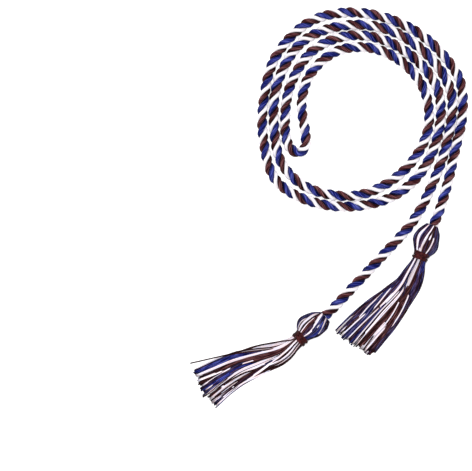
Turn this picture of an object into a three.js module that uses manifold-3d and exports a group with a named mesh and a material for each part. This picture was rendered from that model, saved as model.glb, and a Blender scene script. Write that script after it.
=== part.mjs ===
// Honor cord: a twisted rope laid flat in a double spiral, with a tassel on each end.
// Millimetres, +Z up. The rope and the tassels lie on the plane z = 0, and the origin is
// under the middle of the whole part.

import * as THREE from 'three';
import { mergeVertices } from 'three/addons/utils/BufferGeometryUtils.js';
import Module from 'manifold-3d';

const wasm = await Module();
wasm.setup();

// Driving sizes
const CORD_DIAMETER = 7;
const TASSEL_LENGTH = 114;
const HEAD_LENGTH = 23;
const HEAD_WIDTH = 20;
const HEAD_HEIGHT = 15.6;
const HEAD_LOOPS = 12;
const LOOP_WIDTH = 5.2;
const NECK_DIAMETER = 10;
const BINDING_LENGTH = 4.4;
const BINDING_THICKNESS = 1.3;
const BINDING_WINDS = 4;
const SKIRT_WIDTH = 34.5;
const LOCK_WIDTH = 5;
const LOCK_HEIGHT = 3.8;
const CLEARANCE = 0.3;

// Shares of those sizes
const FOLD_STRETCH_IN_DIAMETERS = 6;
const LOOP_END_SIZE = 0.5;
const NECK_OVERRUN = 0.6;
const ROOT_SIZE = 0.6;
const ROOT_SPREAD = 0.52;
const ROOT_RISE = 0.35;
const TIP_SIZE = 0.75;
const LAYER_RISE = 0.62;
const FAN_END = 0.22;
const SETTLE_END = 0.45;

// Resolution
const CORD_SIDES = 12;
const CORD_STEP_IN_DIAMETERS = 3;
const FOLD_STEP_IN_DIAMETERS = 0.85;
const YARN_SIDES = 7;
const LOOP_STEPS = 7;
const LOCK_STEPS = 7;
const HEAD_SIDES = 16;
const BINDING_SIDES = 24;

// Sizes that follow
const CORD_RADIUS = CORD_DIAMETER / 2;
const CORD_REST = CORD_RADIUS * Math.cos(Math.PI / CORD_SIDES);
const TASSEL_REST = HEAD_HEIGHT / 2;
const SKIRT_LENGTH = TASSEL_LENGTH - HEAD_LENGTH - BINDING_LENGTH;
const NECK_RADIUS = NECK_DIAMETER / 2;
const UP = new THREE.Vector3(0, 0, 1);

// The rope's centre line as it lies, from the right tassel in to the fold and out to the
// left tassel. lift is 0 on the surface and 1 at the height of a tassel's axis.
const CORD_ROUTE = [
  { x: 81, y: -13.5, lift: 1 },
  { x: 86, y: -1, lift: 1 },
  { x: 92.5, y: 20.5, lift: 0.5 },
  { x: 98, y: 44, lift: 0 },
  { x: 104, y: 74, lift: 0 },
  { x: 102, y: 99, lift: 0 },
  { x: 89.5, y: 118.5, lift: 0 },
  { x: 68, y: 137.5, lift: 0 },
  { x: 38, y: 150, lift: 0 },
  { x: 8, y: 152, lift: 0 },
  { x: -18, y: 143.5, lift: 0 },
  { x: -42, y: 117.5, lift: 0 },
  { x: -51, y: 85, lift: 0 },
  { x: -51.5, y: 54.5, lift: 0 },
  { x: -42.5, y: 23, lift: 0 },
  { x: -21, y: 7.5, lift: 0 },
  { x: 13, y: 1, lift: 0 },
  { x: 47.5, y: 8, lift: 0 },
  { x: 71.5, y: 27.5, lift: 0 },
  { x: 85.5, y: 60, lift: 0 },
  { x: 85, y: 91, lift: 0 },
  { x: 69, y: 114.5, lift: 0 },
  { x: 41, y: 131.5, lift: 0 },
  { x: 13, y: 134, lift: 0 },
  { x: -13.5, y: 122, lift: 0 },
  { x: -30.5, y: 95, lift: 0 },
  { x: -34.5, y: 68, lift: 0 },
  { x: -33.5, y: 54.5, lift: 0 },
  { x: -30.5, y: 47, lift: 0 },
  { x: -24.5, y: 43, lift: 0 },
  { x: -19, y: 47, lift: 0 },
  { x: -18.5, y: 57.5, lift: 0 },
  { x: -21.5, y: 81, lift: 0 },
  { x: -15.5, y: 103, lift: 0 },
  { x: 5.5, y: 122, lift: 0 },
  { x: 33.5, y: 124.5, lift: 0 },
  { x: 59.5, y: 111.5, lift: 0 },
  { x: 75.5, y: 88, lift: 0 },
  { x: 76, y: 57.5, lift: 0 },
  { x: 57, y: 28, lift: 0 },
  { x: 22.5, y: 10, lift: 0 },
  { x: -16, y: 15.5, lift: 0 },
  { x: -36.5, y: 34, lift: 0 },
  { x: -43, y: 63, lift: 0 },
  { x: -40.5, y: 96.5, lift: 0 },
  { x: -21.5, y: 129, lift: 0 },
  { x: 10, y: 142, lift: 0 },
  { x: 46, y: 139, lift: 0 },
  { x: 77.5, y: 118.5, lift: 0 },
  { x: 95, y: 90, lift: 0 },
  { x: 92, y: 52, lift: 0 },
  { x: 78, y: 13, lift: 0 },
  { x: 65.5, y: -10, lift: 0 },
  { x: 44.5, y: -34, lift: 0 },
  { x: 19.5, y: -60.5, lift: 0.5 },
  { x: 4, y: -77, lift: 1 },
  { x: -3.5, y: -84, lift: 1 },
];
const FOLD_ROW = 29;

// A head's outline: along is a share of the head's length, out of half its width
const HEAD_OUTLINE = [
  { along: 0.0, out: 0.4 },
  { along: 0.07, out: 0.62 },
  { along: 0.2, out: 0.86 },
  { along: 0.4, out: 1.0 },
  { along: 0.62, out: 1.0 },
  { along: 0.8, out: 0.86 },
  { along: 0.92, out: 0.7 },
  { along: 1.0, out: 0.56 },
];

// How each skirt sweeps over the surface: along and side are shares of the skirt's
// length, spread is a share of its full width
const RIGHT_SWEEP = [
  { along: 0.0, side: 0.0, spread: 0.36 },
  { along: 0.14, side: 0.0, spread: 0.44 },
  { along: 0.3, side: -0.012, spread: 0.59 },
  { along: 0.46, side: -0.065, spread: 0.78 },
  { along: 0.645, side: -0.14, spread: 0.94 },
  { along: 0.82, side: -0.21, spread: 0.99 },
  { along: 0.95, side: -0.26, spread: 1.0 },
];
const LEFT_SWEEP = [
  { along: 0.0, side: 0.0, spread: 0.33 },
  { along: 0.12, side: -0.01, spread: 0.42 },
  { along: 0.25, side: -0.04, spread: 0.56 },
  { along: 0.44, side: -0.115, spread: 0.7 },
  { along: 0.62, side: -0.19, spread: 0.8 },
  { along: 0.79, side: -0.235, spread: 0.9 },
  { along: 0.95, side: -0.265, spread: 1.0 },
];

// The locks of a skirt: across runs from -1 to 1 over its width, layer counts up from
// the surface, reach is a share of the skirt's length
const SKIRT_LOCKS = [
  { across: -1.0, layer: 0, reach: 0.98 },
  { across: -0.72, layer: 0, reach: 1.0 },
  { across: -0.43, layer: 0, reach: 0.97 },
  { across: -0.14, layer: 0, reach: 1.0 },
  { across: 0.14, layer: 0, reach: 0.98 },
  { across: 0.43, layer: 0, reach: 1.0 },
  { across: 0.72, layer: 0, reach: 0.97 },
  { across: 1.0, layer: 0, reach: 0.99 },
  { across: -0.82, layer: 1, reach: 0.95 },
  { across: -0.42, layer: 1, reach: 0.98 },
  { across: -0.02, layer: 1, reach: 0.96 },
  { across: 0.38, layer: 1, reach: 0.97 },
  { across: 0.78, layer: 1, reach: 0.94 },
];

const yarnMaterials = {
  cord: new THREE.MeshStandardMaterial({ color: 0x2a34a0, roughness: 0.55, metalness: 0 }),
  tassel: new THREE.MeshStandardMaterial({ color: 0x4a2a4c, roughness: 0.6, metalness: 0 }),
  binding: new THREE.MeshStandardMaterial({ color: 0x501a22, roughness: 0.6, metalness: 0 }),
};

function toSolid(geometry) {
  const bare = geometry.clone();
  bare.deleteAttribute('normal');
  bare.deleteAttribute('uv');
  const merged = mergeVertices(bare, 1e-4);
  return new wasm.Manifold(new wasm.Mesh({
    numProp: 3,
    vertProperties: new Float32Array(merged.attributes.position.array),
    triVerts: new Uint32Array(merged.index.array),
  }));
}

function fuse(geometries) {
  const whole = geometries.map(toSolid).reduce((sum, next) => sum.add(next));
  const mesh = whole.getMesh();
  const geometry = new THREE.BufferGeometry();
  geometry.setAttribute('position', new THREE.BufferAttribute(mesh.vertProperties, 3));
  geometry.setIndex(new THREE.BufferAttribute(mesh.triVerts, 1));
  geometry.computeVertexNormals();
  return geometry;
}

// Rope

// A curve whose even steps are short round the fold and long elsewhere
class LaidCord extends THREE.CatmullRomCurve3 {
  constructor(points, foldRow, stretches) {
    super(points, false, 'centripetal');
    this.arcLengthDivisions = points.length * 40;
    const lengths = this.getLengths();
    const whole = lengths[lengths.length - 1];
    const fold = lengths[Math.round((foldRow / (points.length - 1)) * this.arcLengthDivisions)];
    const near = fold - stretches.foldLength / 2;
    const far = fold + stretches.foldLength / 2;
    const stepsIn = Math.round(near / stretches.step);
    const stepsFold = Math.round(stretches.foldLength / stretches.foldStep);
    const stepsOut = Math.round((whole - far) / stretches.step);
    this.steps = stepsIn + stepsFold + stepsOut;
    this.stops = [
      { step: 0, share: 0 },
      { step: stepsIn / this.steps, share: near / whole },
      { step: (stepsIn + stepsFold) / this.steps, share: far / whole },
      { step: 1, share: 1 },
    ];
  }

  getUtoTmapping(u, distance) {
    if (!this.stops || distance !== undefined) return super.getUtoTmapping(u, distance);
    const after = Math.max(1, this.stops.findIndex((stop) => stop.step >= u));
    const low = this.stops[after - 1];
    const high = this.stops[after];
    const share = THREE.MathUtils.mapLinear(u, low.step, high.step, low.share, high.share);
    return super.getUtoTmapping(THREE.MathUtils.clamp(share, 0, 1));
  }

  // The curve never dips below the height at which the rope lies
  getPoint(t, target = new THREE.Vector3()) {
    super.getPoint(t, target);
    target.z = Math.max(target.z, CORD_REST);
    return target;
  }

  // Upright frames, so that one flat of the section always faces down
  computeFrenetFrames(segments) {
    const tangents = Array.from({ length: segments + 1 }, (_, i) => this.getTangentAt(i / segments));
    const binormals = tangents.map((tangent) => UP.clone().cross(tangent).normalize());
    const normals = tangents.map((tangent, i) => binormals[i].clone().cross(tangent));
    return { tangents, normals, binormals };
  }
}

function cordCurve() {
  const points = CORD_ROUTE.map(({ x, y, lift }) => (
    new THREE.Vector3(x, y, THREE.MathUtils.lerp(CORD_REST, TASSEL_REST, lift))
  ));
  return new LaidCord(points, FOLD_ROW, {
    step: CORD_STEP_IN_DIAMETERS * CORD_DIAMETER,
    foldStep: FOLD_STEP_IN_DIAMETERS * CORD_DIAMETER,
    foldLength: FOLD_STRETCH_IN_DIAMETERS * CORD_DIAMETER,
  });
}

function cordGeometry(curve) {
  const section = new THREE.Shape();
  const corners = Array.from({ length: CORD_SIDES }, (_, k) => {
    const angle = ((k + 0.5) * 2 * Math.PI) / CORD_SIDES;
    return new THREE.Vector2(CORD_RADIUS * Math.cos(angle), CORD_RADIUS * Math.sin(angle));
  });
  section.setFromPoints(corners);
  return new THREE.ExtrudeGeometry(section, {
    steps: curve.steps,
    extrudePath: curve,
    bevelEnabled: false,
  });
}

// Tassels. Their own frame: x from the cord's end to the skirt, z up, origin on the axis.

// A yarn bundle: a cylinder bent along a path, its width and height given along it
function bundle({ path, steps, sideFrom, widthAt, heightAt }) {
  const form = new THREE.CylinderGeometry(0.5, 0.5, 1, YARN_SIDES, steps);
  const position = form.attributes.position;
  for (let i = 0; i < position.count; i += 1) {
    const share = THREE.MathUtils.clamp(position.getY(i) + 0.5, 0, 1);
    const tangent = path.getTangent(share);
    const side = sideFrom(tangent);
    const up = side.clone().cross(tangent);
    const point = path.getPoint(share)
      .addScaledVector(side, position.getX(i) * widthAt(share))
      .addScaledVector(up, position.getZ(i) * heightAt(share));
    position.setXYZ(i, point.x, point.y, point.z);
  }
  return form;
}

// The value of one column of a table, between its rows
function lerpRows(rows, key, along) {
  const after = Math.max(1, rows.findIndex((row) => row.along >= along));
  const low = rows[after - 1];
  const high = rows[after];
  return THREE.MathUtils.mapLinear(along, low.along, high.along, low[key], high[key]);
}

function headCore() {
  const inset = LOOP_WIDTH / 3;
  const outline = HEAD_OUTLINE.map(({ along, out }) => new THREE.Vector2(
    Math.max(NECK_RADIUS / 2, (out * HEAD_WIDTH) / 2 - inset),
    along * (HEAD_LENGTH - CLEARANCE),
  ));
  outline.unshift(new THREE.Vector2(0, 0));
  outline.push(new THREE.Vector2(0, HEAD_LENGTH - CLEARANCE));
  return new THREE.LatheGeometry(outline, HEAD_SIDES).rotateZ(-Math.PI / 2);
}

function headLoop(angle) {
  const reach = HEAD_LENGTH - CLEARANCE;
  const endRadius = (LOOP_WIDTH * LOOP_END_SIZE) / 2;
  const points = HEAD_OUTLINE.map(({ along, out }) => new THREE.Vector3(
    THREE.MathUtils.lerp(endRadius, reach - endRadius, along),
    0,
    Math.max(endRadius, (out * HEAD_WIDTH) / 2 - LOOP_WIDTH / 2),
  ));
  const thickness = (share) => (
    LOOP_WIDTH * THREE.MathUtils.lerp(LOOP_END_SIZE, 1, Math.sin(Math.PI * share))
  );
  const loop = bundle({
    path: new THREE.CatmullRomCurve3(points, false, 'centripetal'),
    steps: LOOP_STEPS,
    sideFrom: () => new THREE.Vector3(0, -1, 0),
    widthAt: thickness,
    heightAt: thickness,
  });
  return loop.rotateX(angle);
}

function headGeometries() {
  const loops = Array.from({ length: HEAD_LOOPS }, (_, k) => (
    headLoop(((k + 0.5) * 2 * Math.PI) / HEAD_LOOPS)
  ));
  const flatten = HEAD_HEIGHT / HEAD_WIDTH;
  return [headCore(), ...loops].map((form) => form.scale(1, 1, flatten));
}

// The neck runs from inside the head, through the binding, into the skirt's roots
function neckGeometry() {
  const start = HEAD_LENGTH - BINDING_LENGTH;
  const end = HEAD_LENGTH + BINDING_LENGTH * (1 + NECK_OVERRUN);
  return new THREE.CylinderGeometry(NECK_RADIUS, NECK_RADIUS, end - start, HEAD_SIDES)
    .rotateZ(-Math.PI / 2)
    .translate((start + end) / 2, 0, 0);
}

// A lock starts in the neck, fans out to its place across the skirt and settles down
// onto the surface
function skirtPath(sweep, { across, layer, reach }) {
  const root = HEAD_LENGTH + BINDING_LENGTH;
  const middle = new THREE.CatmullRomCurve3(sweep.map(({ along, side }) => (
    new THREE.Vector3(root + along * SKIRT_LENGTH, side * SKIRT_LENGTH, 0)
  )), false, 'centripetal');
  const sweepEnd = sweep[sweep.length - 1].along;
  const restHeight = LOCK_HEIGHT * (0.5 + layer * LAYER_RISE) - TASSEL_REST;
  const rootHeight = (layer === 0 ? -1 : 1) * NECK_RADIUS * ROOT_RISE;
  const rootOffset = across * NECK_RADIUS * ROOT_SPREAD;
  const points = Array.from({ length: LOCK_STEPS + 1 }, (_, k) => {
    const share = k / LOCK_STEPS;
    const centre = middle.getPointAt(share * reach);
    const left = UP.clone().cross(middle.getTangentAt(share * reach));
    const width = lerpRows(sweep, 'spread', share * reach * sweepEnd) * SKIRT_WIDTH;
    const offset = (across * (width - LOCK_WIDTH)) / 2;
    const fan = THREE.MathUtils.smoothstep(share, 0, FAN_END);
    const settle = THREE.MathUtils.smoothstep(share, 0, SETTLE_END);
    centre.addScaledVector(left, THREE.MathUtils.lerp(rootOffset, offset, fan));
    centre.z = THREE.MathUtils.lerp(rootHeight, restHeight, settle);
    return centre;
  });
  return new THREE.CatmullRomCurve3(points, false, 'centripetal');
}

function lockSize(share) {
  const swell = THREE.MathUtils.smoothstep(share, 0, SETTLE_END);
  const taper = THREE.MathUtils.smoothstep(share, TIP_SIZE, 1);
  return THREE.MathUtils.lerp(ROOT_SIZE, 1, swell) * THREE.MathUtils.lerp(1, TIP_SIZE, taper);
}

function skirtLock(sweep, row) {
  return bundle({
    path: skirtPath(sweep, row),
    steps: LOCK_STEPS,
    sideFrom: (tangent) => tangent.clone().cross(UP).normalize(),
    widthAt: (share) => LOCK_WIDTH * lockSize(share),
    heightAt: (share) => LOCK_HEIGHT * lockSize(share),
  });
}

function tasselGeometry(sweep) {
  const locks = SKIRT_LOCKS.map((row) => skirtLock(sweep, row));
  return fuse([...headGeometries(), neckGeometry(), ...locks]);
}

// Binding: thread wound round the neck, a closed ring with a ridge for each wind
function bindingGeometry() {
  const inner = NECK_RADIUS + CLEARANCE;
  const crest = NECK_RADIUS + BINDING_THICKNESS;
  const length = BINDING_LENGTH - CLEARANCE;
  const pitch = length / BINDING_WINDS;
  const valley = Math.max(crest - pitch / 4, (inner + crest) / 2);
  const outline = [new THREE.Vector2(inner, 0)];
  for (let wind = 0; wind < BINDING_WINDS; wind += 1) {
    outline.push(new THREE.Vector2(valley, wind * pitch));
    outline.push(new THREE.Vector2(crest, (wind + 0.5) * pitch));
  }
  outline.push(new THREE.Vector2(valley, length));
  outline.push(new THREE.Vector2(inner, length));
  outline.push(outline[0].clone());
  return new THREE.LatheGeometry(outline, BINDING_SIDES)
    .rotateZ(-Math.PI / 2)
    .translate(HEAD_LENGTH, 0, 0);
}

function tasselGroup(side, end, before, sweep) {
  const outward = new THREE.Vector3().subVectors(end, before).setZ(0).normalize();
  const group = new THREE.Group();
  group.position.copy(end).addScaledVector(outward, CLEARANCE);
  group.rotation.z = Math.atan2(outward.y, outward.x);
  const tassel = new THREE.Mesh(tasselGeometry(sweep), yarnMaterials.tassel);
  tassel.name = `tassel_${side}`;
  const binding = new THREE.Mesh(bindingGeometry(), yarnMaterials.binding);
  binding.name = `binding_${side}`;
  group.add(tassel, binding);
  return group;
}

function honorCord() {
  const curve = cordCurve();
  const points = curve.points;
  const cord = new THREE.Mesh(cordGeometry(curve), yarnMaterials.cord);
  cord.name = 'cord';
  const part = new THREE.Group();
  part.add(cord);
  part.add(tasselGroup('right', points[0], points[1], RIGHT_SWEEP));
  part.add(tasselGroup('left', points[points.length - 1], points[points.length - 2], LEFT_SWEEP));
  return part;
}

export default honorCord();
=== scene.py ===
import math
import random

import bpy
import numpy as np
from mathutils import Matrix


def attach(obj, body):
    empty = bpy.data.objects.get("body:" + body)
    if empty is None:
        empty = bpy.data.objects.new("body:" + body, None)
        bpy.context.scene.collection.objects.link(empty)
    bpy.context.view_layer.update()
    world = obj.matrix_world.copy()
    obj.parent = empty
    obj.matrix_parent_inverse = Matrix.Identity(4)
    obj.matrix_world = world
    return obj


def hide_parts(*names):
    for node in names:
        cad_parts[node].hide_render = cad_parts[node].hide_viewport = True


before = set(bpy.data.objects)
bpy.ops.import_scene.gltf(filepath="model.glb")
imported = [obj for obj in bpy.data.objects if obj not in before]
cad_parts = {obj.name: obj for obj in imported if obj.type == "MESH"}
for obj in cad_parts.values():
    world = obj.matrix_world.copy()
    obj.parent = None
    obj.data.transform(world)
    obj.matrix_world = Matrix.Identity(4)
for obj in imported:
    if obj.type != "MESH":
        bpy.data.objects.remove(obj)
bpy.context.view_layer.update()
random.seed(63)

UP = np.array((0.0, 0.0, 1.0))

# In a metre
MILLIMETRES = 1000

# Sizes in metres, as in the frame
ROPE_RADIUS = 0.0042
HEAD_LENGTH = 0.023
TASSEL_HEIGHT = 0.0078
NECK_RADIUS = 0.0056
BINDING_LENGTH = 0.0044
SKIRT_LENGTH = 0.0866
SKIRT_WIDTH = 0.0345
YARN_WIDTH = 0.00118
YARN_HEIGHT = 0.00100
END_GAP = 0.0003

# How high a head is for its width
HEAD_FLATNESS = 0.78

# The rope's centre line: x, y, and lift from 0 on the floor to 1 at a tassel's axis
ROUTE = (
    (0.081, -0.0135, 1), (0.086, -0.001, 1), (0.0925, 0.0205, 0.5), (0.098, 0.044, 0),
    (0.104, 0.074, 0), (0.102, 0.099, 0), (0.0895, 0.1185, 0), (0.068, 0.1375, 0),
    (0.038, 0.150, 0), (0.008, 0.152, 0), (-0.018, 0.1435, 0), (-0.042, 0.1175, 0),
    (-0.051, 0.085, 0), (-0.0515, 0.0545, 0), (-0.0425, 0.023, 0), (-0.021, 0.0075, 0),
    (0.013, 0.001, 0), (0.0475, 0.008, 0), (0.0715, 0.0275, 0), (0.0855, 0.060, 0),
    (0.085, 0.091, 0), (0.069, 0.1145, 0), (0.041, 0.1315, 0), (0.013, 0.134, 0),
    (-0.0135, 0.122, 0), (-0.0305, 0.095, 0), (-0.0345, 0.068, 0), (-0.0335, 0.0545, 0),
    (-0.0305, 0.047, 0), (-0.0245, 0.043, 0), (-0.019, 0.047, 0), (-0.0185, 0.0575, 0),
    (-0.0215, 0.081, 0), (-0.0155, 0.103, 0), (0.0055, 0.122, 0), (0.0335, 0.1245, 0),
    (0.0595, 0.1115, 0), (0.0755, 0.088, 0), (0.076, 0.0575, 0), (0.057, 0.028, 0),
    (0.0225, 0.010, 0), (-0.016, 0.0155, 0), (-0.0365, 0.034, 0), (-0.043, 0.063, 0),
    (-0.0405, 0.0965, 0), (-0.0215, 0.129, 0), (0.010, 0.142, 0), (0.046, 0.139, 0),
    (0.0775, 0.1185, 0), (0.095, 0.090, 0), (0.092, 0.052, 0), (0.078, 0.013, 0),
    (0.0655, -0.010, 0), (0.0445, -0.034, 0), (0.0195, -0.0605, 0.5), (0.004, -0.077, 1),
    (-0.0035, -0.084, 1),
)

# Steps of the smooth line between two of these points, and metres from ring to ring
LINE_STEPS = 40
ROPE_STEP = 0.00103

# Metres along the rope, and the whole turns that the plies have made there
TWIST = (
    (0.005, 0), (0.151, 8), (0.294, 16), (0.438, 24), (0.570, 31), (0.690, 38), (0.7915, 44),
    (0.811, 45), (0.968, 54), (1.076, 60), (1.230, 68), (1.280, 71), (1.434, 79), (1.600, 88),
)

# Metres in which it makes a turn before the first and after the last of these
TURN_LENGTH = 0.018

# The plies: finish, middle and half of the sector in degrees, centre of the round crown
# in metres, yarns across it, and the painted shade at its two edges
PLIES = (
    ("maroon", 169, 58, 0.0020, 4, 0.50, 0.18),
    ("blue", 32, 79, 0.0018, 5, 0.45, 0.10),
    ("white", -90, 43, 0.0023, 3, 1.0, 1.0),
)

# A ply's section: points round its crown, the degrees that crown and flats leave free at
# the sector's edges, and the flats' middle and inner radius in metres
CROWN_POINTS = 17
CROWN_MARGIN = 2.5
FLAT_MARGIN = 0.8
FLAT_RADIUS = 0.0019
INNER_RADIUS = 0.0002

# The grooves between a ply's yarns: depth in metres, and how much painted shade darkens them
GROOVE_DEPTH = 0.00011
GROOVE_PAINTED_SHADE = {"maroon": 0.40, "blue": 0.40, "white": 0.05}

# Where painted shade darkens a ply on the way from its middle, 0, to its edge, 1: to a
# dark edge, with a shade under the limit, and to a pale one
DARK_LIMIT = 0.2
DARK_EDGE = (0.15, 0.95)
PALE_EDGE = (0.3, 1.0)

# The side of the rope where a ply gets painted shade, 1 left and -1 right, how far round
# to that side it begins, and how much darker it gets
LEE_SIDE = {"maroon": 1, "blue": -1, "white": 0}
LEE_BEGINS = 0.3
LEE_PAINTED_SHADE = 0.5

# The rope's UV: its scale along the rope in metres and across in radians, and the step
# from ply to ply
ROPE_UV_ALONG = 1200
ROPE_UV_ACROSS = 3.3
ROPE_UV_APART = 40

# The two edges of each head, across its axis in metres at six even steps along it
HEAD_EDGES = {
    "right": ((-0.0048, -0.0085, -0.0102, -0.0107, -0.0087, -0.0064),
              (0.0033, 0.0066, 0.0079, 0.0091, 0.0085, 0.0059)),
    "left": ((-0.0042, -0.0084, -0.0105, -0.0117, -0.0106, -0.0062),
             (0.0053, 0.0079, 0.0083, 0.0080, 0.0058, 0.0041)),
}

# How each skirt sweeps: along and side in shares of its length, spread of its width
SWEEPS = {
    "right": (
        (0.0, 0.0, 0.36), (0.14, 0.0, 0.44), (0.3, -0.012, 0.59), (0.46, -0.065, 0.78),
        (0.645, -0.14, 0.94), (0.82, -0.21, 0.99), (0.95, -0.26, 1.0),
    ),
    "left": (
        (0.0, 0.0, 0.33), (0.12, -0.01, 0.42), (0.25, -0.04, 0.56), (0.44, -0.115, 0.7),
        (0.62, -0.19, 0.8), (0.79, -0.235, 0.9), (0.95, -0.265, 1.0),
    ),
}

# Yarns: B blue, D dark blue, N navy, V violet, M maroon, K dark maroon, P plum, W white,
# with their finish and painted shade. D and K are blue and maroon in deep painted shade,
# N is blue in painted shade, and V is a lighter violet blue, partly a painted highlight
YARN_KINDS = {
    "B": ("blue", 0.8), "D": ("blue", 0.42), "N": ("navy", 0.85), "M": ("maroon", 0.72),
    "K": ("maroon", 0.26), "P": ("plum", 0.9), "W": ("pearl", 1.0), "V": ("violet", 0.9),
}

# The loops on top of each head: yarn, how many, how much they swell over the others,
# where they come to the top and where they dive (shares of the length), and their place
# across in millimetres, at six even steps along the head
LOOPS = {
    "right": (
        ("N", 2, 0.0, 0.00, 1.10, (-4.5, -8.2, -9.9, -10.2, -8.2, -6.2)),
        ("P", 2, 0.0, 0.00, 0.80, (-4.0, -7.0, -8.7, -8.9, -7.2, -5.6)),
        ("K", 1, 0.3, 0.60, 1.10, (-3.4, -6.6, -8.6, -8.5, -7.3, -5.6)),
        ("W", 2, 0.3, 0.00, 1.10, (-3.0, -5.5, -7.3, -7.3, -6.0, -4.4)),
        ("N", 2, 0.2, 0.00, 0.86, (-2.2, -4.0, -5.6, -5.8, -4.9, -3.6)),
        ("P", 3, 0.2, 0.00, 0.92, (-1.2, -2.6, -4.2, -4.7, -4.4, -3.4)),
        ("W", 2, 0.3, 0.50, 1.10, (-0.4, -1.2, -2.6, -3.2, -3.6, -2.9)),
        ("W", 2, 0.4, 0.00, 1.10, (0.6, -0.4, -1.6, -2.4, -2.7, -2.0)),
        ("K", 2, 0.2, 0.00, 1.10, (1.0, 0.5, -0.5, -1.1, -1.2, -0.8)),
        ("P", 2, 0.1, 0.35, 1.10, (1.2, 1.0, 0.4, 0.1, 0.2, 0.2)),
        ("W", 1, 0.5, 0.34, 0.56, (1.4, 1.4, 0.8, 0.5, 0.4, 0.4)),
        ("K", 2, 0.4, 0.00, 1.10, (2.0, 2.4, 2.2, 1.9, 1.4, 0.9)),
        ("V", 1, 0.2, 0.00, 0.40, (2.1, 3.0, 3.6, 3.7, 3.2, 2.1)),
        ("W", 1, 0.5, 0.34, 1.10, (2.2, 3.2, 3.8, 3.8, 3.2, 2.0)),
        ("P", 2, 0.2, 0.00, 1.10, (2.5, 4.3, 5.1, 5.4, 4.8, 3.1)),
        ("V", 2, 0.2, 0.10, 1.10, (2.8, 5.2, 6.4, 7.1, 6.3, 4.1)),
        ("N", 1, 0.4, 0.00, 0.60, (3.0, 5.7, 6.9, 7.6, 7.1, 4.5)),
        ("V", 2, 0.0, 0.30, 1.10, (3.1, 6.0, 7.2, 8.2, 7.5, 5.0)),
        ("N", 2, 0.0, 0.00, 1.10, (3.2, 6.4, 7.7, 8.8, 8.2, 5.7)),
    ),
    "left": (
        ("V", 2, 0.0, 0.10, 1.10, (-4.0, -7.9, -9.9, -11.0, -10.0, -6.0)),
        ("N", 2, 0.1, 0.00, 0.70, (-3.8, -7.4, -9.1, -10.0, -9.1, -5.7)),
        ("W", 1, 0.2, 0.50, 1.10, (-3.7, -7.0, -8.4, -9.2, -8.8, -5.5)),
        ("K", 1, 0.2, 0.20, 1.10, (-3.6, -6.9, -8.0, -8.5, -7.9, -5.2)),
        ("W", 2, 0.3, 0.05, 1.10, (-3.5, -6.2, -7.1, -7.6, -7.0, -4.7)),
        ("K", 1, 0.3, 0.00, 1.10, (-3.2, -5.2, -5.8, -6.1, -5.5, -4.0)),
        ("W", 1, 0.4, 0.30, 1.10, (-3.0, -4.4, -4.8, -4.9, -4.2, -3.1)),
        ("M", 2, 0.3, 0.00, 1.10, (-2.6, -3.5, -3.9, -3.9, -3.3, -2.5)),
        ("W", 1, 0.4, 0.00, 0.30, (-2.8, -2.8, -2.0, -1.8, -1.6, -1.2)),
        ("K", 2, 0.3, 0.16, 1.10, (-2.8, -3.4, -3.3, -2.8, -2.4, -1.8)),
        ("P", 3, 0.2, 0.46, 1.10, (-2.2, -2.4, -1.9, -1.3, -0.9, -1.0)),
        ("W", 2, 0.5, 0.00, 1.10, (-2.4, -1.7, -0.5, 0.7, 0.6, -0.4)),
        ("N", 3, 0.2, 0.00, 0.70, (-0.8, 0.2, 1.0, 2.0, 1.8, 0.6)),
        ("W", 1, 0.6, 0.26, 0.54, (0.4, 1.2, 2.1, 2.4, 2.2, 1.0)),
        ("N", 2, 0.2, 0.00, 1.10, (0.8, 2.2, 3.2, 3.3, 2.6, 1.4)),
        ("B", 3, 0.4, 0.20, 1.10, (1.6, 3.2, 4.4, 4.8, 3.6, 1.9)),
        ("W", 1, 0.6, 0.00, 0.60, (2.0, 4.2, 5.6, 6.3, 4.9, 2.8)),
        ("N", 2, 0.2, 0.00, 1.10, (2.8, 5.3, 6.4, 6.6, 4.8, 3.0)),
        ("V", 1, 0.1, 0.25, 1.10, (3.6, 6.2, 7.0, 7.0, 5.1, 3.4)),
        ("K", 1, 0.0, 0.00, 1.10, (4.3, 6.9, 7.6, 7.4, 5.4, 3.7)),
        ("N", 2, 0.0, 0.00, 1.10, (4.9, 7.6, 8.1, 7.8, 5.6, 3.9)),
    ),
}

# The loops below them, side by side
UNDER_LOOPS = "NKPNWKNPKWNMKPBNWKNPKNWMKB"

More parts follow.
